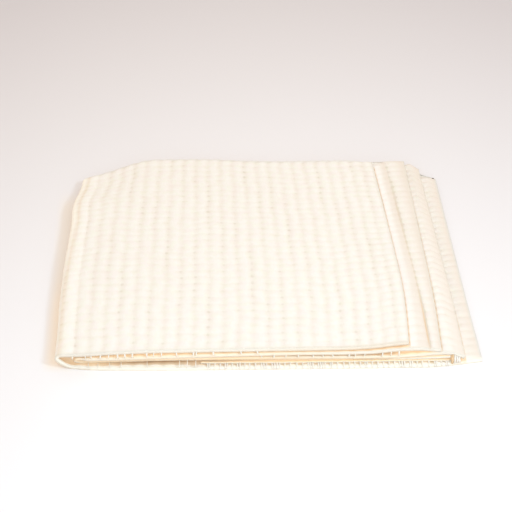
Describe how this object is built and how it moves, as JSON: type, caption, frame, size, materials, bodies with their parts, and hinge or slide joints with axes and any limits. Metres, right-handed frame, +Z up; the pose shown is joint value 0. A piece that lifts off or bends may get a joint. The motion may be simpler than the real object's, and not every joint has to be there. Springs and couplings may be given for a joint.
{
  "type": "reusable paper towel",
  "caption": "Square washable cloth towel in thick cream waffle-rib cotton, folded into quarters and lying flat, its open edges fanned out at the right, for wiping and drying.",
  "frame": {"origin": "on the surface that the towel rests on, under the middle of its box", "axes": "+X along the open front edge from the left fold to the fanned edges, +Y from the open front edge to the back fold, +Z up out of the surface"},
  "size_m": [0.1868, 0.158, 0.012],
  "materials": {
    "cotton": "undyed cream cotton, thick and fuzzy, woven in ribs crossed by short rungs, matt, warm tan in the gaps between leaves"
  },
  "bodies": {
    "root": {"cloth": "cotton"}
  },
  "joints": []
}
